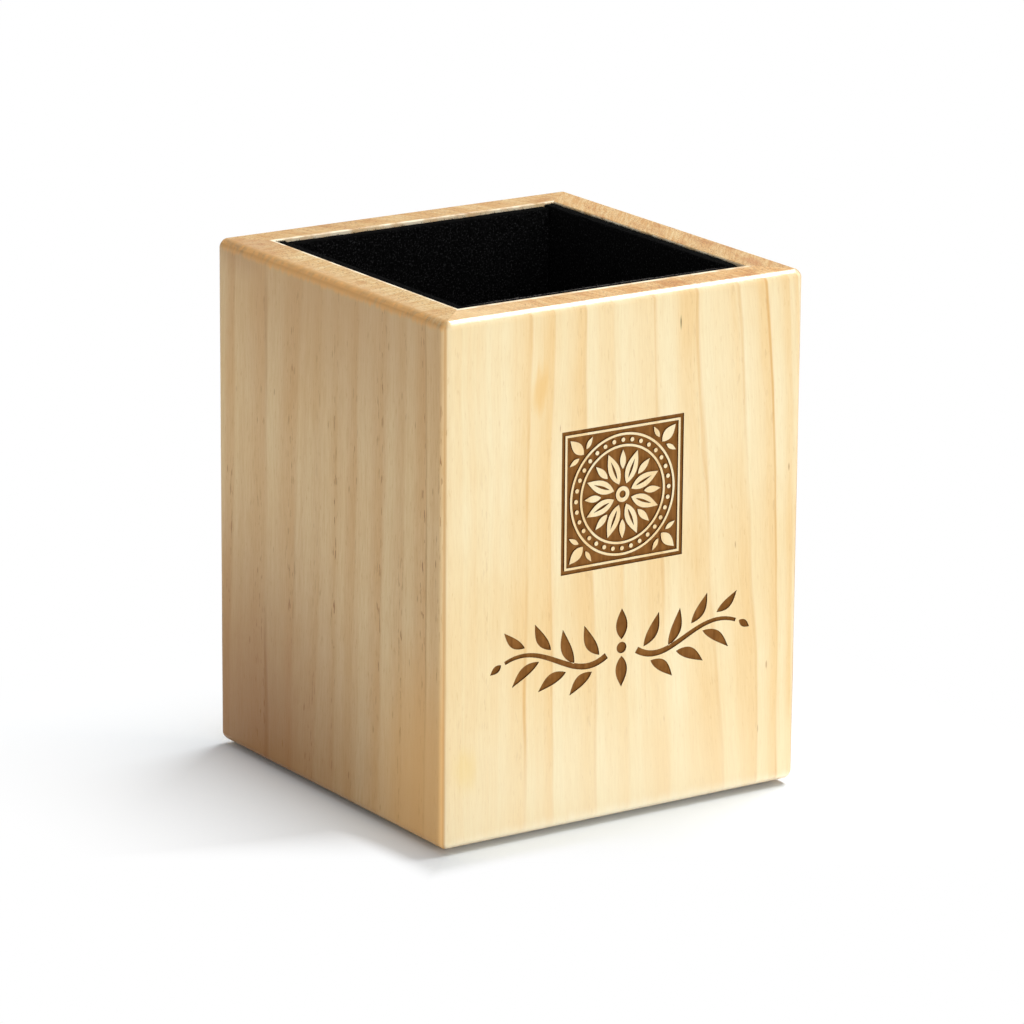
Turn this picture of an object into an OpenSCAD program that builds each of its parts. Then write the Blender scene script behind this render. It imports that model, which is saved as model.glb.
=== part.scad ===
// Square wooden pen cup
// Four upright pine boards are mitred together round a base board and lined with felt.
// The origin is the centre of the foot, the front faces -Y and lengths are millimetres.

/* [Case] */
// Outside width, left to right
case_w = 80; // [60:1:120]
// Outside depth, front to back
case_d = 80; // [60:1:120]
// Height of the wall boards
case_h = 100; // [70:1:140]
// Thickness of the wall boards
wall_t = 8; // [7:0.5:12]
// Radius of the round-over along every outside edge
edge_r = 1.75; // [1:0.25:3]
// Width of the small chamfer that eases the rim's inside edge
rim_ease = 0.4; // [0.1:0.1:1]

/* [Base board] */
// Thickness of the base board
base_t = 6; // [4:0.5:12]
// How far the base board's rabbet is cut into each wall
rabbet_w = 3.5; // [2:0.25:4]
// Gap round the base board, which leaves it room to swell
base_gap = 0.2; // [0.05:0.05:0.5]

/* [Felt] */
// Thickness of the felt on the walls and the floor
felt_t = 2.5; // [1:0.25:4]
// How far the wall felt stops below the rim
felt_drop = 0.2; // [0:0.1:4]
// Thickness of the felt pad under the base
pad_t = 1; // [0.5:0.25:3]
// How far the pad's edge lies inside the outside of the case
pad_inset = 6; // [4:0.5:15]
// Radius of the pad's corners
pad_r = 3; // [1:0.5:10]

/* [Hidden] */

$fn = 64;

PINE = "burlywood";
FELT = [0.05, 0.05, 0.06];

// The inside of the bare box, between the boards
inner_w = case_w - 2 * wall_t;
inner_d = case_d - 2 * wall_t;

// Levels, counted up from the desk
case_z = pad_t;
base_top_z = case_z + base_t;
floor_z = base_top_z + felt_t;
rim_z = case_z + case_h;

// The wall felt stands on the floor felt
felt_h = rim_z - felt_drop - floor_z;

// A cutter runs past what it cuts by this much
past = 1;

// A rectangle about the origin with round corners, made of squares and circles
module rounded_rectangle(w, l, r) {
    square([w, l - 2 * r], center = true);
    square([w - 2 * r, l], center = true);
    for (x = [-1, 1], y = [-1, 1])
        translate([x * (w / 2 - r), y * (l / 2 - r)]) circle(r);
}

// The whole case as one block, with its edges rounded over and its corners sanded to balls
module rounded_block() {
    core = [case_w - 2 * edge_r, case_d - 2 * edge_r, case_h - 2 * edge_r];
    translate([0, 0, case_h / 2]) {
        cube([case_w, core.y, core.z], center = true);
        cube([core.x, case_d, core.z], center = true);
        cube([core.x, core.y, case_h], center = true);
        for (x = [-1, 1], y = [-1, 1])
            translate([x * core.x / 2, y * core.y / 2, 0])
                cylinder(core.z, r = edge_r, center = true);
        for (x = [-1, 1], z = [-1, 1])
            translate([x * core.x / 2, 0, z * core.z / 2]) rotate([90, 0, 0])
                cylinder(core.y, r = edge_r, center = true);
        for (y = [-1, 1], z = [-1, 1])
            translate([0, y * core.y / 2, z * core.z / 2]) rotate([0, 90, 0])
                cylinder(core.x, r = edge_r, center = true);
        for (x = [-1, 1], y = [-1, 1], z = [-1, 1])
            translate([x * core.x / 2, y * core.y / 2, z * core.z / 2]) sphere(edge_r);
    }
}

// A wall board's section, from its outside at 0 to its inside, with the rabbet at its foot
// and the eased edge at its rim
module board_section() {
    difference() {
        square([wall_t, case_h]);
        translate([wall_t - rabbet_w, -past]) square([rabbet_w + past, base_t + past]);
        translate([wall_t, case_h]) rotate(45) square(sqrt(2) * rim_ease, center = true);
    }
}

// A square-edged wall board, w wide outside, at the front of a case that is d deep.
// Its plan is a trapezium, so that its ends are the mitres.
module mitred_board(w, d) {
    intersection() {
        linear_extrude(case_h)
            polygon([
                [-w / 2, -d / 2], [w / 2, -d / 2],
                [w / 2 - wall_t, -d / 2 + wall_t], [-w / 2 + wall_t, -d / 2 + wall_t]
            ]);
        translate([-w / 2, -d / 2, 0]) rotate([90, 0, 90]) linear_extrude(w) board_section();
    }
}

// A board turned to its side of the case, with the case's edges rounded over
module panel(turn) {
    faces_x = turn % 180 != 0;
    translate([0, 0, case_z]) intersection() {
        rounded_block();
        rotate([0, 0, turn])
            mitred_board(faces_x ? case_d : case_w, faces_x ? case_w : case_d);
    }
}

module front_panel() {
    color(PINE) panel(0);
}

module right_panel() {
    color(PINE) panel(90);
}

module back_panel() {
    color(PINE) panel(180);
}

module left_panel() {
    color(PINE) panel(270);
}

// Sits in the rabbets, up against their shoulders
module base_board() {
    base_w = inner_w + 2 * (rabbet_w - base_gap);
    base_d = inner_d + 2 * (rabbet_w - base_gap);
    color(PINE) translate([-base_w / 2, -base_d / 2, case_z]) cube([base_w, base_d, base_t]);
}

// A wall felt of the given plan, whose near corner is at x, y
module wall_felt(x, y, plan_w, plan_d) {
    color(FELT) translate([x, y, floor_z]) cube([plan_w, plan_d, felt_h]);
}

// The left and right felts run the whole depth, and the other two fit between them
module left_lining() {
    wall_felt(-inner_w / 2, -inner_d / 2, felt_t, inner_d);
}

module right_lining() {
    wall_felt(inner_w / 2 - felt_t, -inner_d / 2, felt_t, inner_d);
}

module front_lining() {
    wall_felt(-inner_w / 2 + felt_t, -inner_d / 2, inner_w - 2 * felt_t, felt_t);
}

module back_lining() {
    wall_felt(-inner_w / 2 + felt_t, inner_d / 2 - felt_t, inner_w - 2 * felt_t, felt_t);
}

module floor_lining() {
    color(FELT) translate([-inner_w / 2, -inner_d / 2, base_top_z]) cube([inner_w, inner_d, felt_t]);
}

// Glued under the base board, and all that touches the desk
module foot_pad() {
    color(FELT) linear_extrude(pad_t)
        rounded_rectangle(case_w - 2 * pad_inset, case_d - 2 * pad_inset, pad_r);
}

front_panel();
back_panel();
left_panel();
right_panel();
base_board();
front_lining();
back_lining();
left_lining();
right_lining();
floor_lining();
foot_pad();
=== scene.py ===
"""Square pine pen cup: four mitred boards round a base board, lined with black felt."""
import math

import bmesh
import bpy
from mathutils import Matrix, Vector, noise
from mathutils.geometry import delaunay_2d_cdt


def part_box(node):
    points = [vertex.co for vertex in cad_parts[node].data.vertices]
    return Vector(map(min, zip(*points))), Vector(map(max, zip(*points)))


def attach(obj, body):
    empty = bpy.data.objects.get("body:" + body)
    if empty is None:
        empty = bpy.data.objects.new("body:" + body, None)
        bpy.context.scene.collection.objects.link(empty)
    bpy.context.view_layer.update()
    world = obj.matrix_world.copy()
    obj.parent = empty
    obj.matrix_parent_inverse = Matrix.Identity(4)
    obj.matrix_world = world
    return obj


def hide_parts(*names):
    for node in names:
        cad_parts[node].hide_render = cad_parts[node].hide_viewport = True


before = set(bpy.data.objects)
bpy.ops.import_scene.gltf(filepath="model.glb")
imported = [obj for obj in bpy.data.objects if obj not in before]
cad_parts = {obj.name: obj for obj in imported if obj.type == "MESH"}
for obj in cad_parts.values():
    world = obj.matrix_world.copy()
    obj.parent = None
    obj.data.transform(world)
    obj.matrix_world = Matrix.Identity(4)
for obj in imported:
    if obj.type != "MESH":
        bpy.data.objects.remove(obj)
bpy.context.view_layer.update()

# Wall boards
# The case is four upright pine boards, 8 mm thick, with the grain running up and down.
# Their ends are cut at 45 degrees and glued, and the outside edges are rounded over after
# the glue-up, so that each round runs unbroken across the mitres to a ball at the corner.

MM = 0.001
case_lo, case_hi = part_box("front_panel")
lining_lo, lining_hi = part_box("front_lining")
base_lo, base_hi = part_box("base_board")
CASE_HALF = -case_lo.y
CASE_FOOT = case_lo.z
CASE_RIM = case_hi.z
WALL = CASE_HALF + lining_lo.y
EDGE_RADIUS = 1.75 * MM
RIM_EASE = 0.15 * MM
RABBET_TOP = base_hi.z
RABBET_DEPTH = 3.5 * MM

# The grid's step on a flat face, its extra line beside a round, a quarter round's steps, and how close
# points merge
FACE_STEP = 2.5 * MM
SUPPORT = 0.35 * MM
ROUND_STEPS = 12
WELD = 0.002 * MM

# Sanding by hand flattens the rounds unevenly
SANDING = 0.21 * MM
SANDING_LENGTH = 14 * MM

# The walls in the order in which they stand round the case, with each one's turn from the front
WALLS = {"front": 0, "right": 90, "back": 180, "left": 270}


def stations(start, end, step, support):
    """Places from start to end, about a step apart, with one more close to each end."""
    count = max(1, round((end - start - 2 * support) / step))
    inner = [start + support + (end - start - 2 * support) * i / count for i in range(count + 1)]
    return [start] + inner + [end]


def board_mesh(name, carve=None):
    """A mitred board at the front of the case. carve makes its outside face, where that isn't plain."""
    bm = bmesh.new()
    core = CASE_HALF - EDGE_RADIUS
    across = stations(-core, core, FACE_STEP, SUPPORT)
    up = stations(CASE_FOOT + EDGE_RADIUS, CASE_RIM - EDGE_RADIUS, FACE_STEP, SUPPORT)
    eighth = [math.radians(45) * i / (ROUND_STEPS // 2) for i in range(1, ROUND_STEPS // 2 + 1)]
    quarter = [math.radians(90) * i / ROUND_STEPS for i in range(1, ROUND_STEPS + 1)]

    # Columns are the places along the board, each with the way it faces in plan
    columns = [(-core, -a) for a in reversed(eighth)]
    columns += [(x, 0.0) for x in across]
    columns += [(core, a) for a in eighth]
    # Rows run up the outside skin, from the foot round to the rim
    rows = [(up[0], -a) for a in reversed(quarter)]
    rows += [(z, 0.0) for z in up]
    rows += [(up[-1], a) for a in quarter]

    def skin(column, row):
        x, turn = column
        z, tilt = row
        reach = EDGE_RADIUS * math.cos(tilt)
        out = Vector((reach * math.sin(turn), -reach * math.cos(turn), EDGE_RADIUS * math.sin(tilt)))
        point = Vector((x, -core, z)) + out
        facing = out.normalized()
        rounded = 1 - max(abs(facing.x), abs(facing.y), abs(facing.z))
        return point - facing * SANDING * rounded * (1 + noise.noise(point / SANDING_LENGTH))

    grid = [[bm.verts.new(skin(column, row)) for row in rows] for column in columns]
    flat_columns = (len(eighth), len(eighth) + len(across) - 1)
    flat_rows = (len(quarter), len(quarter) + len(up) - 1)
    for i in range(len(columns) - 1):
        for j in range(len(rows) - 1):
            on_flat = flat_columns[0] <= i < flat_columns[1] and flat_rows[0] <= j < flat_rows[1]
            if carve is None or not on_flat:
                bm.faces.new((grid[i][j], grid[i + 1][j], grid[i + 1][j + 1], grid[i][j + 1]))
    if carve is not None:
        carve(bm, across, up)

    # The other sides, from the rim over its eased edge, down the inside and round the rabbet to the foot
    section = [
        (EDGE_RADIUS, CASE_RIM),
        (WALL - RIM_EASE, CASE_RIM),
        (WALL, CASE_RIM - RIM_EASE),
        (WALL, RABBET_TOP),
        (WALL - RABBET_DEPTH, RABBET_TOP),
        (WALL - RABBET_DEPTH, CASE_FOOT),
        (EDGE_RADIUS, CASE_FOOT),
    ]
    strips = []
    for depth, z in section:
        share = (CASE_HALF - depth) / core
        strips.append([bm.verts.new((x * share, -CASE_HALF + depth, z)) for x in across])
    for here, after in zip(strips, strips[1:]):
        for i in range(len(across) - 1):
            bm.faces.new((here[i], here[i + 1], after[i + 1], after[i]))
    for end in (0, -1):
        bm.faces.new(grid[end] + [strip[end] for strip in strips[1:-1]])

    bmesh.ops.remove_doubles(bm, verts=bm.verts, dist=WELD)
    bmesh.ops.recalc_face_normals(bm, faces=bm.faces)
    mesh = bpy.data.meshes.new(name)
    bm.to_mesh(mesh)
    bm.free()
    return mesh


def srgb(red, green, blue):
    """A colour as a paint chart gives it, 0 to 255, as the linear colour that shaders take."""
    shares = [c / 255 for c in (red, green, blue)]
    linear = [c / 12.92 if c <= 0.04045 else ((c + 0.055) / 1.055) ** 2.4 for c in shares]
    return (*linear, 1.0)


def fill(tree, node, inputs):
    """Sets or links a node's inputs."""
    for key, value in inputs.items():
        if isinstance(value, bpy.types.NodeSocket):
            tree.links.new(value, node.inputs[key])
        else:
            node.inputs[key].default_value = value


def add(tree, kind, inputs=None, **settings):
    """A new node with its settings and inputs."""
    node = tree.nodes.new(kind)
    for key, value in settings.items():
        setattr(node, key, value)
    fill(tree, node, inputs or {})
    return node


def calc(tree, operation, *values):
    """The result of a sum on numbers or sockets."""
    return add(tree, "ShaderNodeMath", dict(enumerate(values)), operation=operation).outputs[0]


def vector_calc(tree, operation, *values):
    """The result of a sum on vectors, which is one number where the sum gives one."""
    node = add(tree, "ShaderNodeVectorMath", dict(enumerate(values)), operation=operation)
    return node.outputs["Value" if operation in ("DOT_PRODUCT", "LENGTH") else "Vector"]


def axes(tree, vector):
    """The three numbers of a vector, by the letters of its axes."""
    return add(tree, "ShaderNodeSeparateXYZ", {0: vector}).outputs


def times(tree, *values):
    """The product of numbers or sockets."""
    result = values[0]
    for value in values[1:]:
        result = calc(tree, "MULTIPLY", result, value)
    return result


def ramp(tree, value, low, high, to_low=0.0, to_high=1.0):
    """A smooth step of a value from low to high."""
    inputs = {"Value": value, "From Min": low, "From Max": high, "To Min": to_low, "To Max": to_high}
    return add(tree, "ShaderNodeMapRange", inputs, interpolation_type="SMOOTHSTEP").outputs["Result"]


# Where a colour mix node keeps its colour sockets, among those for its other kinds of data
MIX_A, MIX_B, MIX_RESULT = 6, 7, 2


def mix(tree, factor, a, b, blend="MIX"):
    """Two colours mixed."""
    inputs = {0: factor, MIX_A: a, MIX_B: b}
    return add(tree, "ShaderNodeMix", inputs, data_type="RGBA", blend_type=blend).outputs[MIX_RESULT]


def tinted(tree, factor, colour, tint):
    """A colour multiplied by a tint, as far as the factor says."""
    return mix(tree, factor, colour, tint, "MULTIPLY")


def pattern(tree, vector, scale, detail=2.0, roughness=0.5):
    """Noise whose grain has its own size along each of three axes, as counts to the vector's unit."""
    grain = vector_calc(tree, "MULTIPLY", vector, scale)
    inputs = {"Vector": grain, "Scale": 1.0, "Detail": detail, "Roughness": roughness}
    return add(tree, "ShaderNodeTexNoise", inputs).outputs[0]


FLOAT = "NodeSocketFloat"
VECTOR = "NodeSocketVector"
COLOUR = "NodeSocketColor"


def new_group(name, kind, inputs, outputs):
    """A node group with named sockets, as its tree, the sockets that feed it and those of its result."""
    tree = bpy.data.node_groups.new(name, kind)
    for label, socket in inputs:
        tree.interface.new_socket(label, in_out="INPUT", socket_type=socket)
    for label, socket in outputs:
        tree.interface.new_socket(label, in_out="OUTPUT", socket_type=socket)
    return tree, tree.nodes.new("NodeGroupInput").outputs, tree.nodes.new("NodeGroupOutput").inputs


def group(tree, node_tree, inputs):
    """A node group placed in a tree, by its outputs."""
    node = add(tree, "ShaderNodeGroup", node_tree=node_tree)
    fill(tree, node, inputs)
    return node.outputs


def growth_wander():
    """The wander of growth rings: where across the board, in millimetres, a point lies on them."""
    tree, given, result = new_group(
        "Growth Wander", "ShaderNodeTree",
        [("Place", VECTOR), ("Slant", FLOAT), ("Wander", FLOAT)], [("Across", FLOAT)])
    split = axes(tree, given["Place"])
    sway = calc(tree, "SUBTRACT", pattern(tree, given["Place"], (0.06, 0.06, 0.016)), 0.5)
    waver = calc(tree, "SUBTRACT", pattern(tree, given["Place"], (0.4, 0.2, 0.025), detail=3.0), 0.5)
    shift = calc(tree, "ADD", times(tree, sway, 5.0), times(tree, waver, 1.6))
    across = calc(tree, "MULTIPLY_ADD", split["Y"], given["Slant"], split["X"])
    across = calc(tree, "MULTIPLY_ADD", shift, given["Wander"], across)
    tree.links.new(across, result["Across"])
    return tree


def pine_wood():
    """Pine: early wood that darkens to late wood at each ring, fibres, resin ducts and end grain."""
    tree, given, result = new_group(
        "Pine Wood", "ShaderNodeTree",
        [("Place", VECTOR), ("Ring", FLOAT), ("Depth", FLOAT), ("End On", FLOAT), ("Fibres", FLOAT),
         ("Ducts", FLOAT), ("Early", COLOUR), ("Late", COLOUR), ("Line", COLOUR), ("End", COLOUR)],
        [("Color", COLOUR), ("Roughness", FLOAT), ("Height", FLOAT)])
    place = given["Place"]
    phase = calc(tree, "FRACT", given["Ring"])

    # Each ring darkens slowly, and a deep one ends in a thin line, before the next one starts pale
    patchy = ramp(tree, pattern(tree, place, (0.10, 0.10, 0.012)), 0.3, 0.7, 0.4, 1.0)
    broken = ramp(tree, pattern(tree, place, (0.20, 0.20, 0.020)), 0.35, 0.6)
    stop = ramp(tree, phase, 0.84, 1.0, 1.0, 0.0)
    deep = ramp(tree, given["Depth"], 0.0, 0.7, 0.3, 1.0)
    late = times(tree, ramp(tree, phase, 0.15, 0.86), stop, patchy, deep)
    thin = times(tree, ramp(tree, phase, 0.86, 0.92), ramp(tree, phase, 0.93, 1.0, 1.0, 0.0))
    line = times(tree, thin, broken, ramp(tree, given["Depth"], 0.5, 1.0))

    streak = pattern(tree, place, (0.4, 0.12, 0.010), detail=2.0)
    fibre = pattern(tree, place, (3.0, 1.2, 0.16), detail=4.0, roughness=0.65)
    fleck = ramp(tree, pattern(tree, place, (3.4, 3.4, 0.42)), 0.60, 0.72)
    cloud = pattern(tree, place, (0.045, 0.045, 0.028))

    # Resin ducts are short dashes along the grain, most of them in rows near the ends of the rings
    dash = ramp(tree, pattern(tree, place, (2.0, 2.0, 0.28)), 0.59, 0.65)
    spread = vector_calc(tree, "MULTIPLY", place, (0.8, 0.8, 0.16))
    cells = add(tree, "ShaderNodeTexVoronoi", {"Vector": spread, "Scale": 1.0, "Randomness": 1.0}).outputs
    draw = add(tree, "ShaderNodeSeparateColor", {0: cells["Color"]}).outputs[0]
    few = calc(tree, "MULTIPLY_ADD", given["Ducts"], -0.3, 1.0)
    speck = ramp(tree, cells["Distance"], 0.06, 0.17, 1.0, 0.0)
    lone = times(tree, speck, calc(tree, "GREATER_THAN", draw, few))
    in_row = times(tree, dash, ramp(tree, phase, 0.5, 0.85), stop, broken, given["Ducts"])
    duct = calc(tree, "MAXIMUM", times(tree, lone, 0.6), in_row)

    wood = mix(tree, late, given["Early"], given["Late"])
    wood = mix(tree, ramp(tree, streak, 0.38, 0.72, 0.0, 0.35), wood, given["Late"])
    wood = mix(tree, line, wood, given["Line"])
    fibrous = times(tree, ramp(tree, fibre, 0.35, 0.70), given["Fibres"])
    wood = tinted(tree, fibrous, wood, srgb(236, 222, 200))
    wood = tinted(tree, times(tree, fleck, given["Fibres"]), wood, srgb(226, 204, 172))
    wood = tinted(tree, ramp(tree, cloud, 0.35, 0.7, 0.0, 0.7), wood, srgb(250, 241, 226))
    wood = tinted(tree, times(tree, duct, 0.9), wood, srgb(168, 112, 76))

    # End grain drinks more finish and is deeper in colour. Rings cross it as streaks, open cells as pits
    rays = pattern(tree, place, (1.1, 0.16, 0.02), detail=5.0, roughness=0.75)
    stain = pattern(tree, place, (0.16, 0.30, 0.05), detail=3.0)
    pores = pattern(tree, place, (2.6, 2.0, 1.0), roughness=0.6)
    crowd = calc(tree, "MULTIPLY_ADD", pattern(tree, place, (0.12, 0.12, 0.05)), -0.16, 0.65)
    pit = ramp(tree, calc(tree, "SUBTRACT", pores, crowd), 0.0, 0.07)
    end_wood = tinted(tree, times(tree, late, 0.6), given["End"], srgb(236, 210, 172))
    end_wood = tinted(tree, ramp(tree, rays, 0.40, 0.62), end_wood, srgb(233, 207, 168))
    end_wood = tinted(tree, ramp(tree, stain, 0.50, 0.72, 0.0, 0.7), end_wood, srgb(222, 194, 156))
    end_wood = mix(tree, times(tree, calc(tree, "MAXIMUM", pit, lone), 0.75), end_wood, srgb(134, 84, 40))
    ragged = times(tree, calc(tree, "SUBTRACT", rays, 0.5), 0.4)
    end_grain = ramp(tree, calc(tree, "ADD", given["End On"], ragged), 0.15, 0.6)
    tree.links.new(mix(tree, end_grain, wood, end_wood), result["Color"])

    gloss = calc(tree, "MULTIPLY_ADD", fibre, 0.14, 0.36)
    gloss = calc(tree, "MULTIPLY_ADD", end_grain, 0.10, gloss)
    tree.links.new(calc(tree, "MULTIPLY_ADD", duct, 0.2, gloss), result["Roughness"])

    dent = calc(tree, "MAXIMUM", duct, times(tree, pit, end_grain))
    height = calc(tree, "MULTIPLY_ADD", dent, -0.6, times(tree, fibre, 0.35))
    tree.links.new(height, result["Height"])
    return tree


def case_marks():
    """Marks of the glued-up case: glue along each mitre, and a pale inside rim edge of wear and painted
    highlight.
    """
    tree, given, result = new_group(
        "Case Marks", "ShaderNodeTree",
        [("Place", VECTOR), ("End On", FLOAT), ("Rub And Highlight", FLOAT), ("Color", COLOUR)], [("Color", COLOUR)])
    split = axes(tree, vector_calc(tree, "ABSOLUTE", given["Place"]))
    off_mitre = calc(tree, "ABSOLUTE", calc(tree, "SUBTRACT", split["X"], split["Y"]))
    width = ramp(tree, given["End On"], 0.2, 0.6, 0.6 * MM, 0.12 * MM)
    glue = ramp(tree, calc(tree, "DIVIDE", off_mitre, width), 0.25, 1.0, 0.55, 0.0)
    marked = mix(tree, glue, given["Color"], srgb(200, 146, 82))
    # The rim's inside edge is painted pale: partly rubbed wear, partly a painted highlight where the eased
    # edge would catch the light
    off_edge = calc(tree, "SUBTRACT", calc(tree, "MAXIMUM", split["X"], split["Y"]), CASE_HALF - WALL)
    patches = pattern(tree, given["Place"], (0.3 / MM, 0.3 / MM, 0.3 / MM), detail=4.0)
    uneven = ramp(tree, patches, 0.32, 0.62, 0.1, 1.0)
    rub_and_highlight = ramp(tree, calc(tree, "DIVIDE", off_edge, given["Rub And Highlight"]), 0.5, 1.0, 1.0, 0.0)
    tree.links.new(mix(tree, times(tree, rub_and_highlight, uneven), marked, srgb(252, 238, 208)), result["Color"])
    return tree


def wood_mark():
    """A soft spot on a board, as a mask: an egg about a place, with a half size along each axis."""
    tree, given, result = new_group(
        "Wood Mark", "ShaderNodeTree",
        [("Place", VECTOR), ("At", VECTOR), ("Size", VECTOR)], [("Mask", FLOAT)])
    offset = vector_calc(tree, "SUBTRACT", given["Place"], given["At"])
    reach = vector_calc(tree, "LENGTH", vector_calc(tree, "DIVIDE", offset, given["Size"]))
    # A small or thin spot has a ragged rim, and a wide one fades evenly
    size = axes(tree, given["Size"])
    least = calc(tree, "MINIMUM", size["X"], size["Z"])
    rough = calc(tree, "MINIMUM", calc(tree, "DIVIDE", 2.5, least), 1.5)
    ragged = calc(tree, "SUBTRACT", pattern(tree, given["Place"], (0.7, 0.7, 0.10), detail=3.0), 0.5)
    reach = calc(tree, "MULTIPLY_ADD", ragged, rough, reach)
    tree.links.new(ramp(tree, reach, 0.2, 1.0, 1.0, 0.0), result["Mask"])
    return tree


GROWTH_WANDER = growth_wander()
PINE_WOOD = pine_wood()
CASE_MARKS = case_marks()
WOOD_MARK = wood_mark()

# A ring leans by up to half of this many millimetres either way
LEAN_RANGE = 20.0

# How far round the edge of the foot its end grain starts
FOOT_SOAK = 0.35


def curve(tree, value, across, up):
    """A value run through straight stretches between points, given as places across and up."""
    node = add(tree, "ShaderNodeFloatCurve", {"Value": value})
    line = node.mapping.curves[0]
    points = list(zip(across, up))
    line.points[0].location = points[0]
    line.points[-1].location = points[-1]
    for point in points[1:-1]:
        line.points.new(*point)
    for point in line.points:
        point.handle_type = "VECTOR"
    node.mapping.update()
    return node.outputs["Value"]


def new_material(name):
    """A new material, with its node tree and its shader."""
    material = bpy.data.materials.new(name)
    material.use_nodes = True
    return material, material.node_tree, material.node_tree.nodes["Principled BSDF"]


def board_wood(name, lie, rings, colours, slant=0.2, fibres=0.5, ducts=0.4, soak=0.0,
               rub_and_highlight=0.8 * MM, polish=0.15, marks_and_light=()):
    """The pine of one board.

    lie turns the part's axes to across the board, into it and along its grain. Each ring has its place
    across the board at half height, its lean over the board's height and how deep its colour gets. The
    colours are the early wood, late wood, ring line and end grain. soak is how far up the rim's round the
    end grain starts, rub_and_highlight how wide the rim's inside edge is painted pale, as rubbed wear and
    painted highlight, and polish the gloss of the rim's round. Each of marks_and_light, a spot in the wood
    or a patch of painted light or shade, has its place on the board, its half size, its colour and its
    strength.
    """
    material, tree, shader = new_material(name)
    place = add(tree, "ShaderNodeTexCoord").outputs["Object"]
    width = 2 * CASE_HALF / MM
    height = (CASE_RIM - CASE_FOOT) / MM
    middle = Vector((0, 0, (CASE_FOOT + CASE_RIM) / 2 / MM))
    on_board = add(tree, "ShaderNodeMapping", {
        "Vector": place,
        "Location": Vector((width / 2, width / 2, 0)) - lie @ middle,
        "Rotation": lie.to_euler(),
        "Scale": (1 / MM, 1 / MM, 1 / MM)}).outputs["Vector"]
    across = group(tree, GROWTH_WANDER, {"Place": on_board, "Slant": slant, "Wander": 0.7})["Across"]

    ends = [(0.0, *rings[0][1:])] + list(rings) + [(width, *rings[-1][1:])]
    places, leans, depths = zip(*ends)
    shares = [x / width for x in places]
    leans = [0.5 + lean / LEAN_RANGE for lean in leans]
    lean = curve(tree, calc(tree, "DIVIDE", across, width), shares, leans)
    lean = times(tree, calc(tree, "SUBTRACT", lean, 0.5), LEAN_RANGE)
    split = axes(tree, on_board)
    upright = calc(tree, "MULTIPLY_ADD", lean, calc(tree, "DIVIDE", split["Z"], height), across)
    share = calc(tree, "DIVIDE", upright, width)
    count = len(rings) + 1
    ring = curve(tree, share, shares, [i / count for i in range(count + 1)])
    ring = times(tree, ring, float(count))
    depth = curve(tree, share, shares, depths)

    grown = add(tree, "ShaderNodeCombineXYZ", {0: upright, 1: split["Y"], 2: split["Z"]}).outputs[0]
    own_tree = Vector((width, 0, height)) * len(bpy.data.materials)
    seeded = vector_calc(tree, "ADD", grown, own_tree)
    grain = lie.transposed() @ Vector((0, 0, 1))
    normal = add(tree, "ShaderNodeNewGeometry").outputs["Normal"]
    end_on = vector_calc(tree, "DOT_PRODUCT", normal, grain)
    # The finish soaks into the end grain of the rim and of the foot, each from its own place on the round
    at_foot = calc(tree, "SUBTRACT", times(tree, end_on, -1.0), FOOT_SOAK)
    end_on = calc(tree, "MAXIMUM", calc(tree, "SUBTRACT", end_on, soak), at_foot)
    facing = axes(tree, vector_calc(tree, "ABSOLUTE", normal))
    flat = calc(tree, "MAXIMUM", calc(tree, "MAXIMUM", facing["X"], facing["Y"]), facing["Z"])
    early, late, line, end = colours
    wood = group(tree, PINE_WOOD, {
        "Place": seeded, "Ring": ring, "Depth": depth, "End On": end_on, "Fibres": fibres,
        "Ducts": ducts, "Early": early, "Late": late, "Line": line, "End": end})
    colour = wood["Color"]
    # Each mark is a spot in the wood or a patch of painted light or shade
    for at, size, tint, amount in marks_and_light:
        mask = group(tree, WOOD_MARK, {"Place": grown, "At": at, "Size": size})["Mask"]
        colour = mix(tree, times(tree, mask, amount), colour, tint)
    colour = group(tree, CASE_MARKS, {
        "Place": place, "End On": end_on, "Rub And Highlight": rub_and_highlight, "Color": colour})["Color"]
    # Hands polish the lacquer on the outside rounds of the rim, and the rest stays dull
    off_middle = axes(tree, vector_calc(tree, "ABSOLUTE", place))
    outside = calc(tree, "MAXIMUM", off_middle["X"], off_middle["Y"])
    outside = ramp(tree, outside, CASE_HALF - 0.6 * WALL, CASE_HALF - 0.4 * WALL)
    on_round = times(tree, ramp(tree, flat, 0.96, 0.998, 1.0, 0.0), ramp(tree, facing["Z"], 0.1, 0.4))
    bump = add(tree, "ShaderNodeBump", {"Height": wood["Height"], "Strength": 0.3, "Distance": 0.06 * MM})
    fill(tree, shader, {
        "Base Color": colour, "Roughness": wood["Roughness"], "Normal": bump.outputs["Normal"],
        "Coat Weight": times(tree, on_round, outside, polish), "Coat Roughness": 0.18,
        "Specular IOR Level": 0.25})
    return material


# Rings of each board, as place, lean and depth
FRONT_RINGS = (
    (4.5, 1, 0.1), (10, 1, 0.15), (18.8, 0, 1.0), (24.3, 1, 0.7), (33, 4, 0.7), (39.8, 5, 0.6),
    (49, 5, 0.75), (60, 8, 0.75), (69, 7, 0.7), (74.5, 4, 0.9), (78.5, 3, 0.6),
)
LEFT_RINGS = (
    (6, -4, 0.6), (18.8, 0, 0.9), (30, -6, 0.6), (38, -4, 0.45), (43.5, -2.5, 0.5),
    (50.5, -4, 0.55), (60, -3, 0.55), (67, -2, 0.5), (74.3, 0, 0.85), (79, 0, 0.1),
)
BACK_RINGS = (
    (7, 2, 0.3), (16, 3, 0.5), (27, 5, 0.3), (35, 4, 0.6), (44, 2, 0.3), (52.5, 0, 0.5),
    (60, -3, 0.3), (68, -4, 0.6), (75, -2, 0.4),
)
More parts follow.
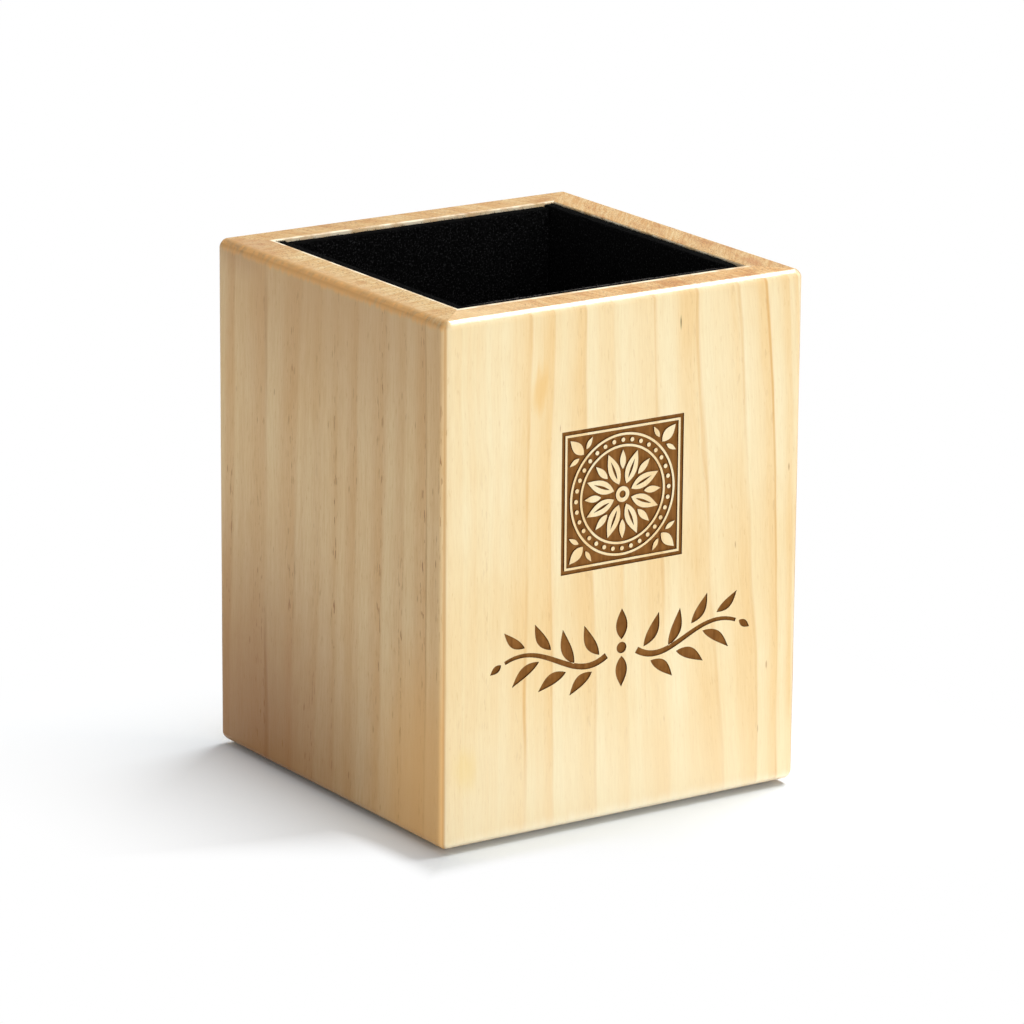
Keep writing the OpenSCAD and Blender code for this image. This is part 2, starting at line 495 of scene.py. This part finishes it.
RIGHT_RINGS = (
    (5, -2, 0.4), (14, -3, 0.3), (22, -4, 0.6), (33, -2, 0.3), (41, 0, 0.5), (50, 3, 0.3),
    (57, 4, 0.5), (66, 5, 0.4), (74, 3, 0.3),
)
PALE_PINE = (srgb(247, 229, 188), srgb(242, 209, 153), srgb(226, 178, 110), srgb(220, 184, 128))
TAN_PINE = (srgb(242, 212, 163), srgb(228, 185, 130), srgb(194, 144, 90), srgb(210, 180, 128))
LEFT_PINE = (*TAN_PINE[:3], srgb(219, 195, 145))

# A short dry check, an amber spot and streak and a yellow spot, then a paler foot, left end of the rim
# and edge of the foot. The paler foot and edge of the foot are painted light, as if bounced up from the
# table
FRONT_MARKS_AND_LIGHT = (
    ((54.9, 0, 43.7), (0.36, 2.0, 2.6), srgb(86, 66, 26), 0.95),
    ((20.8, 0, 35.0), (2.6, 3.0, 6.5), srgb(236, 184, 100), 0.6),
    ((20.0, 0, 10.0), (3.6, 4.0, 60.0), srgb(240, 200, 134), 0.4),
    ((4.5, 0, -35.0), (3.5, 3.0, 6.0), srgb(240, 208, 132), 0.5),
    # Painted light on the lower front, standing in for light bounced up from the table
    ((40.0, 0, -58.0), (70.0, 30.0, 40.0), srgb(250, 238, 206), 0.4),
    ((6.0, 4.0, 50.0), (22.0, 8.0, 6.0), srgb(240, 214, 164), 0.4),
    # Painted light along the round of the foot, standing in for light bounced up from the table
    ((40.0, 0, -50.4), (80.0, 4.0, 3.6), srgb(254, 244, 218), 0.6),
)
# A dark back foot that is painted shade, a golden front foot that is painted light, a browner top and
# back corner of the rim, then the round of the rim, brown over gold: end grain with painted shade on its
# upper part and painted light on its lower part, evening out how the lamps light the round
LEFT_MARKS_AND_LIGHT = (
    # Painted shade at the back of the foot, where the table's shadow bounces little light up
    ((10.0, 0, -62.0), (70.0, 40.0, 75.0), srgb(158, 104, 50), 0.78),
    # Painted light at the front of the foot, as if bounced up from the lit table
    ((76.0, 0, -42.0), (24.0, 40.0, 40.0), srgb(242, 190, 122), 0.8),
    ((40.0, 0, 62.0), (80.0, 6.0, 50.0), srgb(202, 160, 112), 0.6),
    ((6.0, 4.0, 50.0), (16.0, 10.0, 8.0), srgb(168, 112, 70), 0.4),
    # Painted shade on the upper part of the rim's round and painted light on its lower part, over its end
    # grain colour
    ((40.0, 0.9, 49.8), (80.0, 1.4, 1.4), srgb(203, 154, 88), 0.8),
    ((40.0, 0.1, 49.1), (80.0, 1.45, 1.45), srgb(242, 181, 106), 0.85),
)
# A resin stain on the rim
RIGHT_MARKS = (((14.2, 4.8, 50.0), (3.4, 3.0, 6.0), srgb(176, 118, 64), 0.6),)


def lie_of_wall(side):
    """Turns the part's axes to a wall's: across as seen from outside, into the board, and up."""
    return Matrix.Rotation(-math.radians(WALLS[side]), 3, "Z")


def put(name, data):
    """A new object in the scene, for a mesh, a lamp or the camera."""
    thing = bpy.data.objects.new(name, data)
    bpy.context.scene.collection.objects.link(thing)
    return thing


def finish_board(name, mesh, material, node):
    """Smooths a board's rounds and hands it to the frame."""
    board = put(name, mesh)
    mesh.materials.append(material)
    mesh.shade_smooth()
    mesh.set_sharp_from_angle(angle=math.radians(30))
    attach(board, "root")
    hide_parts(node)
    return board


plain_boards = {
    "right": board_wood(
        "right_pine", lie_of_wall("right"), RIGHT_RINGS, TAN_PINE,
        slant=1.2, rub_and_highlight=0.1 * MM, marks_and_light=RIGHT_MARKS),
    "back": board_wood("back_pine", lie_of_wall("back"), BACK_RINGS, TAN_PINE, slant=0.5),
    "left": board_wood(
        "left_pine", lie_of_wall("left"), LEFT_RINGS, LEFT_PINE,
        slant=0.1, ducts=0.8, marks_and_light=LEFT_MARKS_AND_LIGHT),
}
for side, pine in plain_boards.items():
    mesh = board_mesh(f"{side}_board")
    mesh.transform(Matrix.Rotation(math.radians(WALLS[side]), 4, "Z"))
    finish_board(f"{side}_board", mesh, pine, f"{side}_panel")

# Engraved front board
# The front board is like the others, with an ornament burnt into its face by a laser: a framed
# rosette, and a sprig of leaves below it. The cut is shallow, with a flat, scorched floor.

CUT_DEPTH = 0.35 * MM
ROSETTE_AT = Vector((-0.8, 63.5))
ROSETTE_HALF = 13.6
SPRIG_AT = Vector((-0.6, 33.9))

# Points of the outlines that are closer than this are one, and only what lies in an outline is kept
SAME_POINT = 1e-7
KEEP_INSIDE = 1


def polar(angle, radius):
    """A point at an angle in degrees and a radius."""
    return Vector((radius * math.cos(math.radians(angle)), radius * math.sin(math.radians(angle))))


def ring_outline(centre, radius, count=48):
    """A circle."""
    return [centre + polar(360 * i / count, radius) for i in range(count)]


def square_outline(centre, half):
    """A square."""
    return [centre + half * Vector(corner) for corner in ((-1, -1), (1, -1), (1, 1), (-1, 1))]


def leaf_outline(base, tip, width, bend=0.0, count=12):
    """A pointed leaf from base to tip. bend bows its spine to the left, as a share of its length."""
    along = tip - base
    side = Vector((-along.y, along.x))

    def edge(t, sign):
        spine = base + along * t + side * bend * math.sin(math.pi * t)
        return spine + side.normalized() * sign * width / 2 * math.sin(math.pi * t ** 0.85)

    there = [edge(i / count, -1) for i in range(count + 1)]
    back = [edge(i / count, 1) for i in range(count - 1, 0, -1)]
    return there + back


def stem_outline(points, width_start, width_end, count=24):
    """A tapered stroke along a cubic curve."""
    a, b, c, d = points

    def at(t):
        s = 1 - t
        return s ** 3 * a + 3 * s * s * t * b + 3 * s * t * t * c + t ** 3 * d

    def side(t):
        s = 1 - t
        way = 3 * s * s * (b - a) + 6 * s * t * (c - b) + 3 * t * t * (d - c)
        return Vector((-way.y, way.x)).normalized()

    def half(t):
        return (width_start + (width_end - width_start) * t) / 2

    ts = [i / count for i in range(count + 1)]
    return [at(t) - side(t) * half(t) for t in ts] + [at(t) + side(t) * half(t) for t in reversed(ts)]


def rosette():
    """Outlines of the framed rosette. Each outline turns cut into uncut and back again."""
    at = ROSETTE_AT
    outlines = [square_outline(at, ROSETTE_HALF - inset) for inset in (0.0, 0.75, 1.2)]
    outlines += [ring_outline(at, radius, 96) for radius in (11.7, 11.25, 9.5, 9.05)]
    outlines += [ring_outline(at, radius, 32) for radius in (1.5, 0.7)]
    for i in range(8):
        angle = 45 * i + 22.5
        outlines.append(leaf_outline(at + polar(angle, 2.1), at + polar(angle, 8.6), 2.5))
        outlines.append(leaf_outline(at + polar(angle, 3.2), at + polar(angle, 7.0), 0.5))
        outlines.append(leaf_outline(at + polar(angle + 22.5, 4.8), at + polar(angle + 22.5, 8.5), 1.3))
    for i in range(32):
        outlines.append(ring_outline(at + polar(360 / 32 * i, 10.37), 0.42, 12))
    for corner in (45, 135, 225, 315):
        outlines.append(leaf_outline(at + polar(corner, 12.4), at + polar(corner, 16.6), 2.0))
        for turn in (-15, 15):
            base = at + polar(corner + turn / 3, 12.7)
            outlines.append(leaf_outline(base, at + polar(corner + turn, 13.7), 0.9))
    return outlines


def sprig():
    """Outlines of the sprig below, which mirrors left to right about its middle bud."""
    half = []
    stem = [Vector(p) for p in ((3.4, -1.0), (11.0, -6.0), (17.0, 5.0), (26.0, 1.2))]
    half.append(stem_outline(stem, 1.3, 0.7))
    leaves = (
        ((5.0, -0.6), (8.4, 5.6), 2.3, -0.08), ((6.6, -3.6), (11.6, -7.4), 2.2, 0.08),
        ((10.6, -1.4), (13.2, 5.6), 2.3, -0.08), ((12.4, -2.7), (18.6, -5.6), 2.2, 0.08),
        ((15.8, 2.1), (19.4, 7.6), 2.1, -0.08), ((18.4, 0.3), (24.4, -3.8), 2.0, 0.08),
        ((21.6, 3.4), (26.2, 7.0), 1.8, -0.08), ((26.8, 1.0), (29.2, -0.6), 1.4, 0.0),
    )
    for base, tip, width, bend in leaves:
        half.append(leaf_outline(Vector(base), Vector(tip), width, bend))
    outlines = []
    for outline in half:
        outlines.append([SPRIG_AT + p for p in outline])
        outlines.append([SPRIG_AT + Vector((-p.x, p.y)) for p in outline])
    for angle in (90, 270):
        outlines.append(leaf_outline(SPRIG_AT + polar(angle, 1.6), SPRIG_AT + polar(angle, 7.6), 2.6))
    outlines.append(ring_outline(SPRIG_AT, 1.1, 24))
    return outlines


def anticlockwise(outline):
    """An outline turned anticlockwise, so that the triangulation takes what it encloses as its inside."""
    twice_area = sum(a.cross(b) for a, b in zip(outline, outline[1:] + outline[:1]))
    return outline if twice_area > 0 else outline[::-1]


def sunk(bm, top, floor, i):
    """The point of the cut's floor below a point of the face."""
    if i not in floor:
        floor[i] = bm.verts.new(top[i].co + Vector((0, CUT_DEPTH, 0)))
    return floor[i]


def carve_front(bm, across, up):
    """The front board's flat face, with the ornament cut into it."""
    edge = [(x, up[0]) for x in across] + [(across[-1], z) for z in up[1:]]
    edge += [(x, up[-1]) for x in reversed(across[:-1])] + [(across[0], z) for z in reversed(up[1:-1])]
    outlines = [[Vector(p) for p in edge]]
    outlines += [anticlockwise([p * MM for p in outline]) for outline in rosette() + sprig()]
    points = []
    loops = []
    for outline in outlines:
        loops.append(list(range(len(points), len(points) + len(outline))))
        points += outline
    corners, _, triangles, _, _, covers = delaunay_2d_cdt(points, [], loops, KEEP_INSIDE, SAME_POINT, True)
    top = [bm.verts.new((p.x, -CASE_HALF, p.y)) for p in corners]
    floor = {}
    sides = {}
    for triangle, cover in zip(triangles, covers):
        cut = len(cover) % 2 == 0
        face = bm.faces.new([sunk(bm, top, floor, i) if cut else top[i] for i in triangle])
        face.material_index = 1 if cut else 0
        for a, b in zip(triangle, triangle[1:] + triangle[:1]):
            sides.setdefault(tuple(sorted((a, b))), []).append(cut)
    for (a, b), cuts in sides.items():
        if len(cuts) == 2 and cuts[0] != cuts[1]:
            wall = bm.faces.new((top[a], top[b], floor[b], floor[a]))
            wall.material_index = 1
    for vert in top:
        if not vert.link_faces:
            bm.verts.remove(vert)


def place_in_mm(tree):
    """Where a point lies in the part, in millimetres."""
    place = add(tree, "ShaderNodeTexCoord").outputs["Object"]
    return vector_calc(tree, "MULTIPLY", place, (1 / MM, 1 / MM, 1 / MM))


def burnt_wood():
    """The scorched cut, floor and sides: brown, with the laser's level lines and the wood's fibres."""
    material, tree, shader = new_material("burnt_pine")
    place = place_in_mm(tree)
    fibre = pattern(tree, place, (1.6, 1.6, 0.06), detail=4.0)
    soot = pattern(tree, place, (0.5, 0.5, 0.5), detail=4.0)
    wave = {"Vector": place, "Scale": 1.6, "Distortion": 0.4, "Detail": 1.0}
    lines = add(tree, "ShaderNodeTexWave", wave, wave_type="BANDS", bands_direction="Z").outputs["Fac"]
    brown = mix(tree, ramp(tree, fibre, 0.3, 0.7), srgb(128, 80, 28), srgb(148, 97, 41))
    brown = mix(tree, ramp(tree, soot, 0.45, 0.75, 0.0, 0.4), brown, srgb(98, 58, 20))
    brown = mix(tree, times(tree, lines, 0.12), brown, srgb(86, 52, 18))

    # The cut's steep sides are scorched darkest
    normal = add(tree, "ShaderNodeNewGeometry").outputs["Normal"]
    steep = ramp(tree, calc(tree, "ABSOLUTE", axes(tree, normal)["Y"]), 0.3, 0.7, 0.8, 0.0)
    bump = add(tree, "ShaderNodeBump", {
        "Height": calc(tree, "ADD", fibre, lines), "Strength": 0.4, "Distance": 0.04 * MM})
    fill(tree, shader, {
        "Base Color": mix(tree, steep, brown, srgb(74, 42, 12)),
        "Roughness": ramp(tree, soot, 0.2, 0.8, 0.6, 0.85),
        "Specular IOR Level": 0.2, "Normal": bump.outputs["Normal"]})
    return material


front_pine = board_wood(
    "front_pine", lie_of_wall("front"), FRONT_RINGS, PALE_PINE,
    slant=0.15, fibres=0.25, ducts=0.15, soak=0.4, rub_and_highlight=1.4 * MM, polish=0.8, marks_and_light=FRONT_MARKS_AND_LIGHT)
front_mesh = board_mesh("front_board", carve_front)
finish_board("front_board", front_mesh, front_pine, "front_panel")
front_mesh.materials.append(burnt_wood())

# Base board
# A square pine board with level grain, set into the rabbet at the foot of the walls before the
# last one is glued on. A hair of room all round lets it swell. Only a strip of its underside
# can be seen, round the foot pad.

BASE_EASE = 0.3 * MM
BASE_STEP = 8 * MM
BASE_RINGS = (
    (8, 2, 0.4), (19, 4, 0.5), (28, 3, 0.3), (36, 0, 0.6), (47, -2, 0.4), (58, -4, 0.5), (70, -3, 0.4),
)

# Across the base board is the part's depth, into it is up, and along its grain is the width
BASE_LIE = Matrix(((0, 1, 0), (0, 0, 1), (1, 0, 0)))

# Where a rounded edge is cut between its ends, as shares of its reach
EASE_SHARES = (0.25, 0.6)


def block_mesh(name, lo, hi, ease, step):
    """A block between two corners, with its edges rounded and its faces cut into a grid."""
    bm = bmesh.new()
    lines = []
    for k in range(3):
        line = stations(lo[k], hi[k], step, ease)
        line += [lo[k] + ease * share for share in EASE_SHARES]
        line += [hi[k] - ease * share for share in EASE_SHARES]
        lines.append(sorted(line))
    known = {}

    def vert(point):
        key = tuple(round(c / MM, 4) for c in point)
        if key not in known:
            heart = Vector([min(max(c, l + ease), h - ease) for c, l, h in zip(point, lo, hi)])
            known[key] = bm.verts.new(heart + (point - heart).normalized() * ease)
        return known[key]

    for axis in range(3):
        u, v = (axis + 1) % 3, (axis + 2) % 3
        for level in (lo[axis], hi[axis]):
            for u0, u1 in zip(lines[u], lines[u][1:]):
                for v0, v1 in zip(lines[v], lines[v][1:]):
                    corners = []
                    for cu, cv in ((u0, v0), (u1, v0), (u1, v1), (u0, v1)):
                        point = Vector((0, 0, 0))
                        point[axis], point[u], point[v] = level, cu, cv
                        corners.append(vert(point))
                    bm.faces.new(corners)
    bmesh.ops.recalc_face_normals(bm, faces=bm.faces)
    mesh = bpy.data.meshes.new(name)
    bm.to_mesh(mesh)
    bm.free()
    return mesh


base_pine = board_wood("base_pine", BASE_LIE, BASE_RINGS, TAN_PINE, slant=1.5, ducts=0.3)
base_mesh = block_mesh("base_plank", base_lo, base_hi, BASE_EASE, BASE_STEP)
finish_board("base_plank", base_mesh, base_pine, "base_board")

# Felt lining
# Black pressed felt, 2.5 mm thick, is glued to the floor of the cup and then to the four walls.
# The left and right pieces run the whole depth, and the front and back pieces fit between them.

FELT_EDGE = 0.4 * MM
FELT_CELL = 1.6 * MM
FELT_LUMPS = 0.16 * MM
LUMP_LENGTH = 2.2 * MM

# How far each wall's felt was cut short of the rest
CUT_SHORT = {"front": 0.0, "right": 0.0, "back": 0.35 * MM, "left": 0.0}

# How far the right wall's felt is cut away at its front corner
TRIM_REACH = 3.5 * MM
TRIM_DEPTH = 0.8 * MM


def felt_mesh(name, lo, hi, corner=0.0):
    """A felt slab with soft edges and a lumpy skin, inside its block. corner is its radius in plan."""
    edge = min(FELT_EDGE, 0.45 * min(hi - lo))
    mesh = block_mesh(name, lo, hi, edge, FELT_CELL)
    mesh.shade_smooth()
    normals = [vert.normal.copy() for vert in mesh.vertices]
    for vert, normal in zip(mesh.vertices, normals):
        lump = 0.5 + 0.5 * noise.fractal(vert.co / LUMP_LENGTH, 0.8, 2.0, 3)
        vert.co -= normal * FELT_LUMPS * min(max(lump, 0), 1)
        heart_x = min(max(vert.co.x, lo.x + corner), hi.x - corner)
        heart_y = min(max(vert.co.y, lo.y + corner), hi.y - corner)
        out = Vector((vert.co.x - heart_x, vert.co.y - heart_y, 0))
        if out.length > 0:
            vert.co += out * (max(abs(out.x), abs(out.y)) / out.length - 1)
    return mesh


DEEP_BLACK = (0.0006, 0.0006, 0.0006, 1)
SOFT_BLACK = (0.005, 0.005, 0.0052, 1)
PALE_FIBRE = (0.036, 0.036, 0.037, 1)
HIGHLIGHT_GREY = (0.14, 0.133, 0.125, 1)


def felt_cloth():
    """Matt black felt: matted fibres of uneven black, with some paler ones."""
    material, tree, shader = new_material("black_felt")
    place = place_in_mm(tree)
    matted = pattern(tree, place, (1.6, 1.6, 1.6), detail=6.0, roughness=0.7)
    fleck = pattern(tree, place, (2.6, 2.6, 2.6), detail=4.0, roughness=0.6)
    black = mix(tree, ramp(tree, matted, 0.35, 0.7), DEEP_BLACK, SOFT_BLACK)
    black = mix(tree, ramp(tree, fleck, 0.52, 0.68, 0.0, 0.8), black, PALE_FIBRE)

    # The up-facing top is painted near black, as painted shade against the light that falls on it
    normal = add(tree, "ShaderNodeNewGeometry").outputs["Normal"]
    upward = axes(tree, normal)["Z"]
    black = mix(tree, ramp(tree, upward, 0.3, 0.8, 0.0, 0.95), black, DEEP_BLACK)
    # A grey line along the front piece's inside edge is a painted highlight, where its rounded edge would
    # catch the light
    split = axes(tree, place)
    off_edge = calc(tree, "ABSOLUTE", calc(tree, "SUBTRACT", split["Y"], lining_hi.y / MM))
    off_middle = calc(tree, "ABSOLUTE", split["X"])
    half = lining_hi.x / MM
    line = times(tree, ramp(tree, off_edge, 0.4, 1.0, 1.0, 0.0), ramp(tree, upward, 0.2, 0.5))
    line = times(tree, line, ramp(tree, off_middle, 0.8 * half, half, 1.0, 0.0))
    painted_highlight = times(tree, line, ramp(tree, matted, 0.4, 0.56))
    bump = add(tree, "ShaderNodeBump", {"Height": matted, "Strength": 0.9, "Distance": 0.3 * MM})
    fill(tree, shader, {
        "Base Color": mix(tree, painted_highlight, black, HIGHLIGHT_GREY),
        "Roughness": ramp(tree, matted, 0.3, 0.7, 0.85, 1.0),
        "Specular IOR Level": 0.02, "Normal": bump.outputs["Normal"]})
    return material


FELT = felt_cloth()
FIBRE_LENGTH = 0.4 * MM
FIBRE_RADIUS = 0.03 * MM
FUZZY_EDGE = 1.0 * MM
FUZZY_REACH = 45 * MM
FUZZ_SEED = 7

# The most that a fibre tips over, in radians
FIBRE_TILT = 1.1

# Fibres to a square millimetre, along the top edge and on the face
EDGE_FIBRES = 2.0 / MM ** 2
FACE_FIBRES = 0.8 / MM ** 2


def felt_fuzz():
    """Loose fibres on a wall's felt, as geometry nodes: thick along its top edge and thin below that."""
    tree, given, result = new_group(
        "Felt Fuzz", "GeometryNodeTree",
        [("Geometry", "NodeSocketGeometry"), ("Top", FLOAT), ("Inward", VECTOR), ("Edge Density", FLOAT),
         ("Face Density", FLOAT), ("Seed", "NodeSocketInt"), ("Cloth", "NodeSocketMaterial")],
        [("Geometry", "NodeSocketGeometry")])
    position = add(tree, "GeometryNodeInputPosition").outputs[0]
    normal = add(tree, "GeometryNodeInputNormal").outputs[0]
    below = calc(tree, "SUBTRACT", given["Top"], axes(tree, position)["Z"])
    edge = times(tree, calc(tree, "LESS_THAN", below, FUZZY_EDGE), given["Edge Density"])
    face = times(tree, calc(tree, "LESS_THAN", below, FUZZY_REACH), given["Face Density"])
    inward = vector_calc(tree, "DOT_PRODUCT", normal, given["Inward"])
    open_side = calc(tree, "GREATER_THAN", calc(tree, "MAXIMUM", inward, axes(tree, normal)["Z"]), 0.4)
    points = add(tree, "GeometryNodeDistributePointsOnFaces", {
        "Mesh": given["Geometry"], "Selection": open_side,
        "Density": calc(tree, "ADD", edge, face), "Seed": given["Seed"]}).outputs

    bend = add(tree, "GeometryNodeCurveQuadraticBezier", {
        "Resolution": 3, "Start": (0, 0, -0.1 * MM),
        "Middle": (0.3 * FIBRE_LENGTH, 0, 0.6 * FIBRE_LENGTH),
        "End": (0.1 * FIBRE_LENGTH, 0.3 * FIBRE_LENGTH, FIBRE_LENGTH)}).outputs[0]
    section = add(tree, "GeometryNodeCurvePrimitiveCircle", {
        "Resolution": 3, "Radius": FIBRE_RADIUS}).outputs[0]
    fibre = add(tree, "GeometryNodeCurveToMesh", {"Curve": bend, "Profile Curve": section}).outputs[0]
    lean = {"Min": (-FIBRE_TILT, -FIBRE_TILT, 0), "Max": (FIBRE_TILT, FIBRE_TILT, 2 * math.pi), "Seed": 3}
    tilt = add(tree, "FunctionNodeRandomValue", lean, data_type="FLOAT_VECTOR").outputs[0]
    tilt = add(tree, "FunctionNodeEulerToRotation", {0: tilt}).outputs[0]
    turned = add(tree, "FunctionNodeRotateRotation", {
        "Rotation": points["Rotation"], "Rotate By": tilt}, rotation_space="LOCAL").outputs[0]
    draw = add(tree, "FunctionNodeRandomValue", {"Seed": 5}).outputs[1]
    size = add(tree, "ShaderNodeMapRange", {"Value": draw, "To Min": 0.4, "To Max": 1.1}).outputs[0]
    stood = add(tree, "GeometryNodeInstanceOnPoints", {
        "Points": points["Points"], "Instance": fibre, "Rotation": turned, "Scale": size}).outputs[0]
    solid = add(tree, "GeometryNodeRealizeInstances", {0: stood}).outputs[0]
    cloth = add(tree, "GeometryNodeSetMaterial", {
        "Geometry": solid, "Material": given["Cloth"]}).outputs[0]
    tree.links.new(cloth, result["Geometry"])
    return tree


FELT_FUZZ = felt_fuzz()


def grow_fuzz(name, felt, inward, seed):
    """The loose fibres of one felt piece, as a piece of their own."""
    fuzz = put(name, felt.data.copy())
    modifier = fuzz.modifiers.new("fuzz", "NODES")
    modifier.node_group = FELT_FUZZ
    values = {
        "Top": max(vert.co.z for vert in felt.data.vertices), "Inward": inward,
        "Edge Density": EDGE_FIBRES, "Face Density": FACE_FIBRES, "Seed": seed, "Cloth": FELT}
    for item in FELT_FUZZ.interface.items_tree:
        if item.in_out == "INPUT" and item.name in values:
            modifier[item.identifier] = values[item.name]
    grown = fuzz.evaluated_get(bpy.context.evaluated_depsgraph_get())
    mesh = bpy.data.meshes.new_from_object(grown)
    fuzz.modifiers.clear()
    fuzz.data = mesh
    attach(fuzz, "root")
    return fuzz


def trim_corner(mesh, corner):
    """Cuts a felt piece's top away near one of its corners, in a soft curve."""
    for vert in mesh.vertices:
        near = max(0.0, 1 - (vert.co - corner).length / TRIM_REACH)
        vert.co.z -= TRIM_DEPTH * near * near * (3 - 2 * near)


def lay_felt(name, node, lo, hi, corner=0.0):
    """A felt piece in place of its block."""
    felt = put(name, felt_mesh(name, lo, hi, corner))
    felt.data.materials.append(FELT)
    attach(felt, "root")
    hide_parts(node)
    return felt


floor_lo, floor_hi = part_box("floor_lining")
floor_felt = lay_felt("floor_felt", "floor_lining", floor_lo, floor_hi)
for side, turn in WALLS.items():
    lo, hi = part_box(f"{side}_lining")
    hi = hi - Vector((0, 0, CUT_SHORT[side]))
    felt = lay_felt(f"{side}_felt", f"{side}_lining", lo, hi)
    if side == "right":
        trim_corner(felt.data, Vector((hi.x, lo.y, hi.z)))
    inward = Matrix.Rotation(math.radians(turn), 3, "Z") @ Vector((0, 1, 0))
    fuzz = grow_fuzz(f"{side}_fuzz", felt, inward, turn + FUZZ_SEED)

# Foot pad
# A thin square of the same felt with rounded corners is glued under the base board, so that
# the wood stands clear of the desk and doesn't mark it.

PAD_CORNER = 3 * MM
pad_lo, pad_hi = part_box("foot_pad")
foot_felt = lay_felt("foot_felt", "foot_pad", pad_lo, pad_hi, PAD_CORNER)

# Desk, light and camera
# A plain table that fades to white, in even light from all round. A broad lamp stands low at the
# front left, and a narrow one at the upper right draws the line of light along the front edge.

TABLE_SIZE = 6.0
TABLE_WHITE = (0.90, 0.955, 1.0, 1)
table_mesh = bpy.data.meshes.new("table")
table_bm = bmesh.new()
bmesh.ops.create_grid(table_bm, x_segments=1, y_segments=1, size=TABLE_SIZE / 2)
table_bm.to_mesh(table_mesh)
table_bm.free()
table = put("table", table_mesh)
table_paint, tree, shader = new_material("white_table")
fill(tree, shader, {"Base Color": TABLE_WHITE, "Roughness": 0.9, "Specular IOR Level": 0.0})


def seen_rays(tree):
    """Whether a ray is one that shows the backdrop: from the camera, or by way of a gloss or glass."""
    path = add(tree, "ShaderNodeLightPath").outputs
    mirrored = calc(tree, "MAXIMUM", path["Is Glossy Ray"], path["Is Transmission Ray"])
    return calc(tree, "MAXIMUM", path["Is Camera Ray"], mirrored)


# The table fades to the white of the backdrop, quickly at the foot of the case and then more slowly
FADE_START = CASE_HALF - 1.3 * MM
FADE_REACH = 60 * MM
FADE_RATE = 0.36

# On the camera's side of the case the table is white sooner, past a narrow shadow at the foot
BRIGHT_SIDE = Vector((-0.555, -0.832, 0))
BRIGHT_START = 18 * MM
BRIGHT_END = 58 * MM
BRIGHT_RATE = 1.5
SHADOW_START = 3 * MM
SHADOW_END = 11 * MM

place = add(tree, "ShaderNodeTexCoord").outputs["Object"]
ahead = vector_calc(tree, "DOT_PRODUCT", place, BRIGHT_SIDE)
off_middle = axes(tree, vector_calc(tree, "ABSOLUTE", place))
reach = calc(tree, "SUBTRACT", calc(tree, "MAXIMUM", off_middle["X"], off_middle["Y"]), FADE_START)
bright = calc(tree, "POWER", ramp(tree, ahead, BRIGHT_START, BRIGHT_END), BRIGHT_RATE)
bright = times(tree, bright, ramp(tree, reach, SHADOW_START, SHADOW_END))
faded = calc(tree, "POWER", ramp(tree, reach, 0.0, FADE_REACH), FADE_RATE)
white_share = times(tree, calc(tree, "MAXIMUM", faded, bright), seen_rays(tree))
glow = add(tree, "ShaderNodeEmission", {"Color": (1, 1, 1, 1), "Strength": 1.0})
blend = add(tree, "ShaderNodeMixShader", {0: white_share, 1: shader.outputs[0], 2: glow.outputs[0]})
fill(tree, tree.nodes["Material Output"], {"Surface": blend.outputs[0]})
table_mesh.materials.append(table_paint)

AIR_LIGHT = 0.2
world = bpy.data.worlds.new("studio")
bpy.context.scene.world = world
world.use_nodes = True
tree = world.node_tree
tree.nodes.clear()
air = add(tree, "ShaderNodeBackground", {"Color": (1, 1, 1, 1), "Strength": AIR_LIGHT})
white = add(tree, "ShaderNodeBackground", {"Color": (1, 1, 1, 1), "Strength": 1.0})
backdrop = add(tree, "ShaderNodeMixShader", {0: seen_rays(tree), 1: air.outputs[0], 2: white.outputs[0]})
add(tree, "ShaderNodeOutputWorld", {"Surface": backdrop.outputs[0]})

CUP_MIDDLE = Vector((0, 0, 50 * MM))


def soft_lamp(name, towards, distance, size, power):
    """A flat lamp that looks at the cup from a direction. size is its level side, then its other side."""
    lamp = bpy.data.lights.new(name, "AREA")
    lamp.shape = "RECTANGLE"
    lamp.size, lamp.size_y = size
    lamp.energy = power
    holder = put(name, lamp)
    way = Vector(towards).normalized()
    holder.location = way * distance + CUP_MIDDLE
    holder.rotation_euler = way.to_track_quat("Z", "Y").to_euler()


soft_lamp("strip_lamp", towards=(0.54, 0.07, 0.84), distance=1.1, size=(0.8, 0.22), power=13.8)
soft_lamp("front_lamp", towards=(-0.30, -0.95, 0.12), distance=2.4, size=(2.4, 1.8), power=48.0)

LENS = 199.7
EYE = Vector((-576.88, -866.8, 345.13)) * MM
AZIMUTH, ELEVATION, ROLL = (math.radians(a) for a in (-33.710, 15.807, 0.447))
view = bpy.data.cameras.new("camera")
view.lens = LENS
view.sensor_width = 36.0
view.clip_end = 20.0
camera = put("camera", view)
pan = Matrix.Rotation(AZIMUTH, 4, "Z")
tilt = Matrix.Rotation(math.pi / 2 - ELEVATION, 4, "X")
camera.matrix_world = Matrix.Translation(EYE) @ pan @ tilt @ Matrix.Rotation(ROLL, 4, "Z")
bpy.context.scene.camera = camera
bpy.context.scene.view_settings.view_transform = "Standard"
